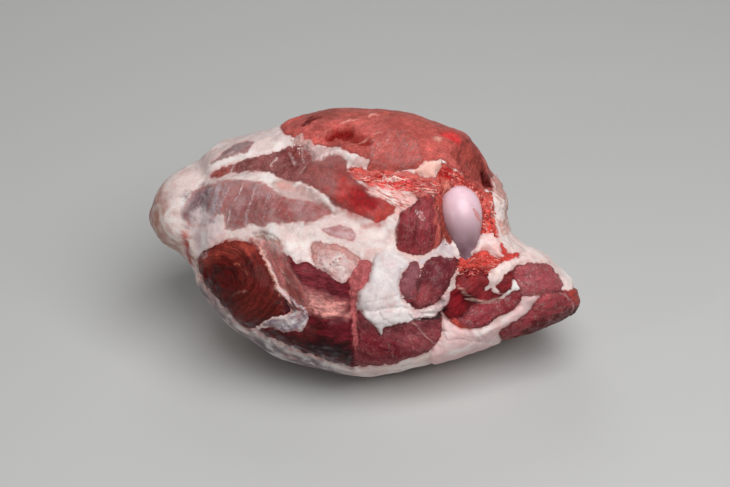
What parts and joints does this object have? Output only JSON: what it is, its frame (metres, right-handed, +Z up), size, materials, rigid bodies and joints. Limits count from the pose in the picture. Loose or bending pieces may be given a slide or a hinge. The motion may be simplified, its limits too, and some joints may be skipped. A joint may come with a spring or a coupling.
{
  "type": "leg of lamb",
  "caption": "Raw bone-in leg of lamb with the shank off, its cut muscles facing out, fat round the outer side and the hip end of the thigh bone showing.",
  "frame": {"origin": "centre of the bounding box at the flat spot the leg rests on", "axes": "+X from the shank end towards the chump end, +Y away from the cut face, +Z up from the table"},
  "size_m": [0.2506, 0.1606, 0.1354],
  "materials": {
    "raw_lean": "moist raw lean meat with membrane and fat seams",
    "raw_fat": "cool firm fat under a thin dry skin",
    "gristle": "smooth wet joint cartilage"
  },
  "bodies": {
    "root": {"lean_meat": "raw_lean", "fat_cover": "raw_fat", "femur_head": "gristle"}
  },
  "joints": []
}
